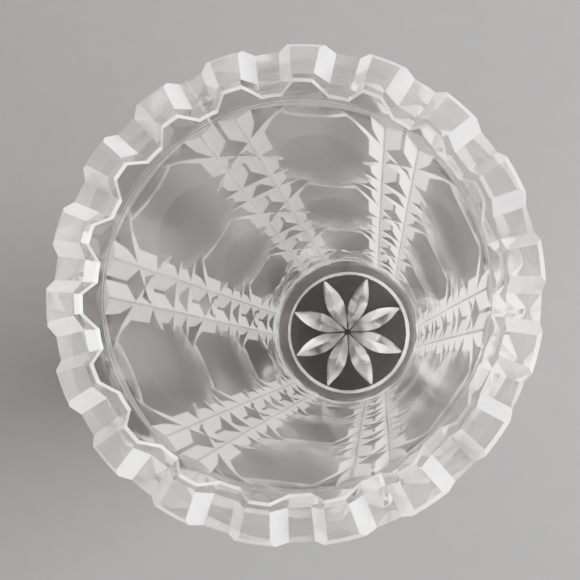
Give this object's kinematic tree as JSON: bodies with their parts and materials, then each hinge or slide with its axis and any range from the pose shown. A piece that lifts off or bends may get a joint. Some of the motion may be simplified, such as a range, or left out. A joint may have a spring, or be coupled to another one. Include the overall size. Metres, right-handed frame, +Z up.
{
  "type": "dappen dish",
  "caption": "Tapered clear cut-glass cup with a castellated rim, lattice-cut wall and star-cut base, for holding small amounts of liquid or small tools.",
  "frame": {"origin": "centre of the resting face under the base", "axes": "+Z up along the cup's own axis, +X through the middle of one panel of the cut pattern"},
  "size_m": [0.0499, 0.0496, 0.085],
  "materials": {
    "clear_glass": "clear polished glass, sharp cut facets, faint smears and fine wear on the rim and foot"
  },
  "bodies": {
    "root": {"glass_cup": "clear_glass"}
  },
  "joints": []
}
